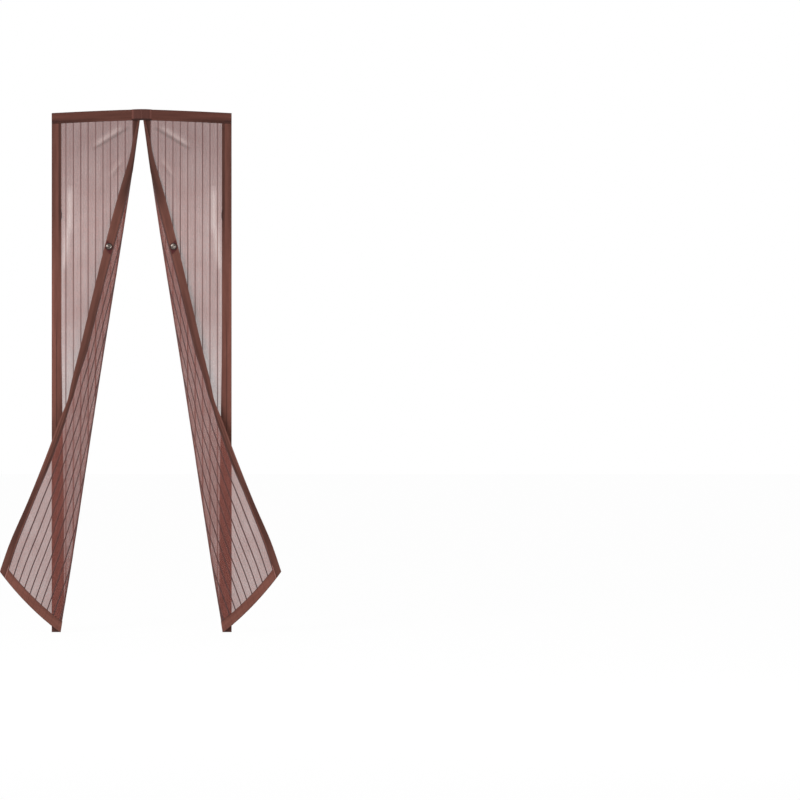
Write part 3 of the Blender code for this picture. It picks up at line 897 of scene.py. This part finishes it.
def near_fold(start, end):
    """True where a stitch would cross the fold's bend."""
    low = min(start[0], end[0]) - STITCH_LENGTH
    high = max(start[0], end[0]) + STITCH_LENGTH
    return fold_start(start[1]) < high and fold_end(start[1]) > low


def join_all(parts):
    """Puts several bmeshes into the first."""
    first = parts[0]
    for other in parts[1:]:
        mesh = bpy.data.meshes.new("seam")
        other.to_mesh(mesh)
        other.free()
        first.from_mesh(mesh)
        bpy.data.meshes.remove(mesh)
    return first


def make_seams(thread):
    foot = SCREEN_HEIGHT
    start = TOP_BAND + GAP
    lines = [seam_places(u, start, foot)
             for u in (SEAM_INSET, OUTER_SHOWN - SEAM_INSET, INNER_START + SEAM_INSET,
                       PANEL_WIDTH - SEAM_INSET)]
    for drop in (foot - SEAM_INSET, foot - BOTTOM_BAND + SEAM_INSET):
        lines.append(seam_places(drop, OUTER_SHOWN + GAP, INNER_START - GAP, along_v=False))
    height = TAPE_HALF - GROOVE_DEPTH + STITCH_RADIUS * 0.4
    runs = []
    for face in (height, -height):
        for line in lines:
            runs.append(stitch_run(line, drape, face, near_fold))
    return finish_pair("panel_seams", join_all(runs), thread, "tape")


def make_corner_stitches(thread):
    """Paler locking stitches where the inner binding crosses the hem."""
    places = seam_places(INNER_START + 0.0022, SCREEN_HEIGHT - BOTTOM_BAND - 0.012, SCREEN_HEIGHT)
    made = stitch_run(places, drape, -TAPE_HALF - 0.0002, radius=2 * STITCH_RADIUS)
    finish_pair("corner_stitches", made, thread, "tape")


def make_magnets(surface):
    """Rounded magnet strips in the inner bindings."""
    start, length = TOP_BAND, SCREEN_HEIGHT - BOTTOM_BAND - TOP_BAND
    middle = PANEL_WIDTH - MAGNET_INSET
    half, wide = SLOT_HALF - GAP, MAGNET_WIDTH / 2
    corners = ((-1.0, -0.6), (-0.94, -1.0), (0.94, -1.0), (1.0, -0.6),
               (1.0, 0.6), (0.94, 1.0), (-0.94, 1.0), (-1.0, 0.6))
    profile = [(middle + wide * across, half * n) for across, n in corners]
    for index in range(1, MAGNET_ROWS):
        low = start + length * index / MAGNET_ROWS + MAGNET_SPACE
        high = start + length * (index + 1) / MAGNET_ROWS - MAGNET_SPACE
        magnet = swept_solid(profile, steps_between(low, high, ROW_STEP))
        bend(magnet, drape)
        name = f"magnet_{index:02d}"
        finish_pair(f"{name}_strip", magnet, surface, "magnet", [name])


# Top band and centre patch

def flap_front(x):
    flat = NET_HALF + RIB_HEIGHT
    folded = 2 * FOLD_RADIUS_TOP + flat
    share = smooth_step(1 - (abs(x) - BULGE_REACH) / BULGE_TAPER)
    return -CLOTH_DEPTH - flat - (folded - flat) * share


def band_shape(front, back):
    """Maps (x, drop, n) of the top pieces: n is 1 on the front face and -1 on the back."""
    def shape(x, drop, n):
        share = (n / TAPE_HALF + 1) / 2
        y = back + (front(x) - back) * share
        return Vector((x, y, CORNER_TOP + arch_at(x, 0.0) - drop))
    return shape


def band_front(x):
    return flap_front(x) - GAP - TAPE_THICKNESS


def patch_front(x):
    return band_front(x) - GAP - TAPE_THICKNESS


def make_top(band_surface, patch_surface, thread):
    band = swept_solid(tape_profile(TOP_BAND, 0.0),
                       steps_between(-HALF_WIDTH, HALF_WIDTH, ARCH_STEP), along_v=False)
    store_cloth_map(band)
    shape = band_shape(band_front, BAND_BACK)
    bend(band, shape)
    finish_piece("top_band_tape", band, band_surface, "tape", ["top_band"])
    crown = -(GAP + TAPE_THICKNESS)
    patch_back = BAND_BACK + GAP + TAPE_THICKNESS
    make_patch(crown, patch_back, patch_surface)
    runs = []
    height = TAPE_HALF - GROOVE_DEPTH / 2
    for drop in (SEAM_INSET, TOP_BAND - SEAM_INSET):
        line = seam_places(drop, -HALF_WIDTH, HALF_WIDTH, along_v=False)
        runs.append(stitch_run(line, shape, height, under_patch))
    front = band_shape(patch_front, patch_back)
    for x in (-PATCH_WIDTH / 2 + SEAM_INSET, -0.0012, 0.0012, PATCH_WIDTH / 2 - SEAM_INSET):
        runs.append(stitch_run(seam_places(x, 0.001, TOP_BAND - 0.001), front, TAPE_HALF + 0.0001))
    finish_piece("top_seams", join_all(runs), thread, "tape")


def under_patch(start, _):
    """True where the patch hides a stitch of the band."""
    return abs(start[0]) < PATCH_WIDTH / 2 + STITCH_LENGTH


def make_patch(crown, back, surface):
    """U-shaped patch over the middle of the band: long leg in front, short leg behind."""
    part = PATCH_BEND * 0.3

    def ring(x):
        top = CORNER_TOP + arch_at(x, 0.0)
        outer, inner = patch_front(x), patch_front(x) + TAPE_THICKNESS
        points = [(outer, -TOP_BAND), (outer, -crown - PATCH_BEND), (outer + part, -crown - part),
                  (outer + PATCH_BEND, -crown), (back - PATCH_BEND, -crown),
                  (back - part, -crown - part), (back, -crown - PATCH_BEND),
                  (back, -PATCH_BACK), (back - TAPE_THICKNESS, -PATCH_BACK),
                  (back - TAPE_THICKNESS, GAP), (inner, GAP), (inner, -TOP_BAND)]
        return [(x, y, top + z) for y, z in points]
    stations = steps_between(-PATCH_WIDTH / 2, PATCH_WIDTH / 2, 0.004)
    patch = closed_loft([ring(x) for x in stations])
    store_cloth_map(patch, lambda spot: (spot.x, CORNER_TOP + arch_at(spot.x, 0.0) - spot.z))
    finish_piece("centre_patch_tape", patch, surface, "tape", ["centre_patch"])


# Tie-backs

def turned_piece(name, profile, place_at, outward, surface, slot_name, replaced):
    """Turned solid: a profile of (radius, height) spun about the outward direction."""
    side = outward.orthogonal().normalized()
    up = outward.cross(side)
    made = bmesh.new()
    rings = []
    for step in range(TURN_STEPS):
        angle = 2 * math.pi * step / TURN_STEPS
        around = side * math.cos(angle) + up * math.sin(angle)
        rings.append([made.verts.new(place_at + around * radius + outward * height)
                      for radius, height in profile])
    for ring, following in zip(rings, rings[1:] + rings[:1]):
        for row in range(len(profile) - 1):
            made.faces.new((ring[row], ring[row + 1], following[row + 1], following[row]))
    bmesh.ops.remove_doubles(made, verts=made.verts, dist=1e-6)
    bmesh.ops.recalc_face_normals(made, faces=made.faces)
    return finish_piece(name, made, surface, slot_name, replaced)


def rim_profile():
    wall, outer = BUTTON_CAP_RADIUS + GAP, BUTTON_RADIUS
    bead = (outer - wall) / 2
    points = [(0.0, BUTTON_FLOOR), (wall, BUTTON_FLOOR)]
    for turn in range(0, 181, 30):
        angle = math.radians(180 - turn)
        height = BUTTON_RIM_HEIGHT - bead + bead * math.sin(angle)
        points.append((wall + bead + bead * math.cos(angle), height))
    return points + [(outer, RIM_CHAMFER), (outer - RIM_CHAMFER, 0.0), (0.0, 0.0)]


def cap_profile():
    base, rise, radius = BUTTON_FLOOR + GAP, BUTTON_DOME_HEIGHT, BUTTON_CAP_RADIUS
    points = [(0.0, base + rise - DIMPLE_DEPTH)]
    for step in range(1, 25):
        angle = math.radians(90) * step / 24
        across = radius * math.sin(angle)
        dish = DIMPLE_DEPTH * max(0.0, 1 - (across / DIMPLE_RADIUS) ** 2)
        groove = DIMPLE_DEPTH * math.exp(-((across - DIMPLE_RADIUS * 1.35) / 0.0005) ** 2)
        points.append((across, base + rise * (0.45 + 0.55 * math.cos(angle)) - dish - groove))
    return points + [(radius * 0.985, base), (0.0, base)]


def make_buttons(rim, cap):
    u, v = PANEL_WIDTH - BUTTON_INSET, BUTTON_DROP
    for side, sign in (("left", 1), ("right", -1)):
        spot = drape(u, v, -TAPE_HALF - 3 * GAP - TAB_THICKNESS)
        outward = (spot - drape(u, v, 0.0)).normalized()
        spot.x, outward.x = spot.x * sign, outward.x * sign
        for name, profile, surface, slot_name in (("dish", rim_profile(), rim, "rim"),
                                                  ("dome", cap_profile(), cap, "cap")):
            turned_piece(f"{side}_button_{name}", profile, spot, outward, surface, slot_name,
                         [f"{side}_button_{slot_name}"])


def make_tabs(surface, thread):
    """Sewn pads with rounded corners that back the buttons."""
    u, v = PANEL_WIDTH - BUTTON_INSET, BUTTON_DROP
    near, far = -TAPE_HALF - GAP, -TAPE_HALF - GAP - TAB_THICKNESS
    middle, top, foot = u, v - TAB_ABOVE, v + TAB_BELOW
    corner, soft = 0.005, 0.0003
    rings = []
    for station in steps_between(top, foot, 0.002):
        edge = max(0.0, corner - min(station - top, foot - station))
        reach = TAB_WIDTH / 2 - corner + math.sqrt(max(corner ** 2 - edge ** 2, 0.0))
        columns = [reach * (2 * index / 10 - 1) for index in range(11)]
        front = [(middle + across, station, far + soft * (abs(across) > reach * 0.95))
                 for across in columns]
        rings.append(front + [(middle + across, station, near) for across in reversed(columns)])
    tab = closed_loft(rings)
    store_cloth_map(tab)
    bend(tab, drape)
    finish_pair("button_pad", tab, surface, "fastener", ["button_tab"])
    inset, lines = 0.0025, []
    for side in (-1, 1):
        lines += seam_places(middle + side * (TAB_WIDTH / 2 - inset), top + corner, foot - corner)
    for drop in (top + inset, foot - inset):
        lines += seam_places(drop, middle - TAB_WIDTH / 2 + corner, middle + TAB_WIDTH / 2 - corner,
                             along_v=False)
    finish_pair("pad_seams", stitch_run(lines, drape, far - 0.0001), thread, "tape")


def make_loops(surface):
    """Twisted elastic cord, sewn by both ends to the outer binding's mouth."""
    mouth = -HALF_WIDTH + OUTER_BAND + GAP
    depth = -CLOTH_DEPTH - NET_HALF - RIB_HEIGHT - GAP - LOOP_CORD / 2
    middle, half_height = CORNER_TOP - LOOP_DROP, (LOOP_HEIGHT - LOOP_CORD) / 2
    steps, sides, stub = 96, 16, 0.04
    path = []
    for index in range(steps + 1):
        share = index / steps
        if stub <= share <= 1 - stub:
            angle = math.pi * (share - stub) / (1 - 2 * stub)
            x = mouth + LOOP_CORD / 2 + (LOOP_REACH - LOOP_CORD) * math.sin(angle)
            z = middle + half_height * math.cos(angle)
        else:
            x = mouth + LOOP_CORD / 2 * min(share, 1 - share) / stub
            z = middle + half_height * (1 if share < 0.5 else -1)
        path.append(Vector((x, depth, z)))
    front = Vector((0, -1, 0))
    rings = []
    for index, point in enumerate(path):
        ahead = path[min(index + 1, steps)] - path[max(index - 1, 0)]
        along = ahead.normalized() if 0 < index < steps else Vector((1, 0, 0))
        side = along.cross(front).normalized()
        turn = 2 * math.pi * LOOP_TWISTS * index / steps
        ring = []
        for step in range(sides):
            angle = 2 * math.pi * step / sides
            radius = LOOP_CORD / 2 * (0.90 + 0.10 * math.cos(3 * angle - turn))
            ring.append(point + radius * (side * math.cos(angle) + front * math.sin(angle)))
        rings.append(ring)
    made = closed_loft(rings)
    finish_pair("tieback_cord", made, surface, "fastener", ["tieback_loop"])


def make_bartacks(thread):
    """Dense zigzag tacks at the top band's two lower corners."""
    first, last = (-HALF_WIDTH + inset for inset in TACK_ENDS)
    low, high = TACK_DROP - TACK_HEIGHT / 2, TACK_DROP + TACK_HEIGHT / 2
    step = (last - first) / TACK_TURNS
    places = []
    for index in range(TACK_TURNS):
        x = first + step * index
        heights = (low, high) if index % 2 == 0 else (high, low)
        places.append(((x, heights[0]), (x + step, heights[1])))
    made = stitch_run(places, band_shape(band_front, BAND_BACK), TAPE_HALF + 0.0001)
    finish_pair("corner_tack", made, thread, "tape")


# Surroundings

def mix_shaders(tree, share, one, two, output):
    """Shows two shaders, by a share from 0 to 1 of the second."""
    mixer = tree.nodes.new("ShaderNodeMixShader")
    feed(tree, mixer, {0: share, 1: one, 2: two})
    feed(tree, output, {"Surface": mixer.outputs[0]})


def glow(tree, kind, colour, strength):
    node = tree.nodes.new(kind)
    feed(tree, node, {"Color": colour, "Strength": strength})
    return node.outputs[0]


def make_floor():
    """Pale floor under the screen that the camera sees as nearly white."""
    level = CORNER_TOP - SCREEN_HEIGHT - 0.004
    bpy.ops.object.select_all(action="DESELECT")
    bpy.ops.mesh.primitive_plane_add(size=60.0, location=(0, 0, level))
    floor = bpy.context.object
    floor.name = "floor"
    surface, tree, shader = new_surface("pale_floor")
    feed(tree, shader, {"Base Color": (0.80, 0.80, 0.80), "Roughness": 0.9,
                        "Specular IOR Level": 0.1})
    floor.data.materials.append(surface)
    path = tree.nodes.new("ShaderNodeLightPath")
    white = glow(tree, "ShaderNodeEmission", (1.0, 1.0, 1.0), 1.0)
    mix_shaders(tree, times(tree, path.outputs["Is Camera Ray"], 0.97), shader.outputs[0], white,
                tree.nodes["Material Output"])


def make_world():
    """Soft daylight, seen as plain white by the camera and in reflections."""
    world = bpy.data.worlds.new("studio")
    world.use_nodes = True
    tree = world.node_tree
    tree.nodes.clear()
    path = tree.nodes.new("ShaderNodeLightPath")
    seen = math_node(tree, "MAXIMUM", path.outputs["Is Glossy Ray"],
                     path.outputs["Is Transmission Ray"])
    seen = math_node(tree, "MAXIMUM", path.outputs["Is Camera Ray"], seen)
    light = glow(tree, "ShaderNodeBackground", (1.0, 0.99, 0.98), 0.62)
    white = glow(tree, "ShaderNodeBackground", (1.0, 1.0, 1.0), 1.0)
    mix_shaders(tree, seen, light, white, tree.nodes.new("ShaderNodeOutputWorld"))
    bpy.context.scene.world = world


def add_lamp(name, place_at, target, size, power):
    lamp = bpy.data.lights.new(name, "AREA")
    lamp.shape = "DISK"
    lamp.size = size
    lamp.energy = power
    holder = bpy.data.objects.new(name, lamp)
    holder.location = place_at
    holder.rotation_euler = (Vector(target) - Vector(place_at)).to_track_quat("-Z", "Y").to_euler()
    bpy.context.scene.collection.objects.link(holder)


def make_lamps():
    middle = (0.0, 0.0, CORNER_TOP - SCREEN_HEIGHT / 2)
    add_lamp("key", (-2.6, -4.2, 1.2), middle, 2.4, 260.0)
    add_lamp("fill", (3.4, -4.6, -0.4), middle, 3.0, 90.0)


def make_camera():
    """Level view along +Y that puts the screen where the photograph has it."""
    camera = bpy.data.cameras.new("camera")
    width = PHOTO_SIZE * METRES_PER_PIXEL
    camera.sensor_width = SENSOR_WIDTH
    camera.lens = SENSOR_WIDTH * CAMERA_DISTANCE / width
    camera.clip_end = 60.0
    holder = bpy.data.objects.new("camera", camera)
    holder.location = ((PHOTO_SIZE / 2 - COPY_MIDDLE_X) * METRES_PER_PIXEL, -CAMERA_DISTANCE,
                       (ORIGIN_Y - PHOTO_SIZE / 2) * METRES_PER_PIXEL)
    holder.rotation_euler = (math.radians(90), 0, 0)
    bpy.context.scene.collection.objects.link(holder)
    bpy.context.scene.camera = holder


def main():
    net = net_cloth()
    thread = plain_surface("sewing_thread", (0.150, 0.070, 0.060), 0.6)
    outer = tape_cloth("outer_tape", TAPE_LIGHT, TAPE_DARK, 0.0, OUTER_SHOWN, True, OUTER_STOPS)
    inner = tape_cloth("inner_tape", TAPE_LIGHT, TAPE_DARK, INNER_START, INNER_BAND, True,
                       INNER_STOPS)
    bottom = tape_cloth("bottom_tape", TAPE_LIGHT, TAPE_DARK, SCREEN_HEIGHT - BOTTOM_BAND,
                        BOTTOM_BAND, False, BOTTOM_STOPS, ticks=0.12)
    band = tape_cloth("band_tape", BAND_LIGHT, BAND_DARK, 0.0, TOP_BAND, False, BAND_STOPS)
    patch = tape_cloth("patch_tape", PATCH_LIGHT, PATCH_DARK, -PATCH_WIDTH / 2, PATCH_WIDTH, True,
                       PATCH_STOPS)
    nets = make_nets(net)
    foot = SCREEN_HEIGHT
    stations = [TOP_BAND - TUCK, TOP_BAND - GAP] + steps_between(TOP_BAND + GAP, foot, ROW_STEP)
    outers = make_binding("outer", OUTER_SHOWN, 0.0, stations, outer)
    inners = make_binding("inner", INNER_START, PANEL_WIDTH, stations, inner)
    bottoms = make_binding("bottom", foot - BOTTOM_BAND, foot,
                           steps_between(OUTER_SHOWN + GAP, INNER_START - GAP, 0.006), bottom,
                           along_v=False)
    seams = make_seams(thread)
    make_corner_stitches(plain_surface("pale_thread", (0.46, 0.27, 0.26), 0.6))
    make_top(band, patch, thread)
    make_bartacks(plain_surface("tack_thread", (0.026, 0.006, 0.007), 0.6))
    make_magnets(plain_surface("magnet_strip", (0.030, 0.028, 0.028), 0.6))
    make_buttons(plain_surface("rim_lacquer", (0.022, 0.005, 0.005), 0.50),
                 plain_surface("cap_metal", (0.11, 0.092, 0.082), 0.22, 1.0, 0.05, 900.0, 0.00002))
    make_tabs(plain_surface("pad_cloth", (0.046, 0.008, 0.008), 0.85, 0.0, 0.3, 1500.0), thread)
    make_loops(plain_surface("elastic_cord", (0.024, 0.010, 0.011), 0.7, 0.0, 0.25, 1500.0))
    napped = plain_surface("napped_tape", (0.055, 0.022, 0.019), 0.9, 0.0, 0.35, 1400.0, 0.0006)
    for name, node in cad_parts.items():
        if "loop_tape" in name or "hook_tape" in name:
            node.data.materials.clear()
            node.data.materials.append(napped)
    make_floor()
    make_world()
    make_lamps()
    make_camera()
    bpy.context.scene.view_settings.view_transform = "Standard"


main()
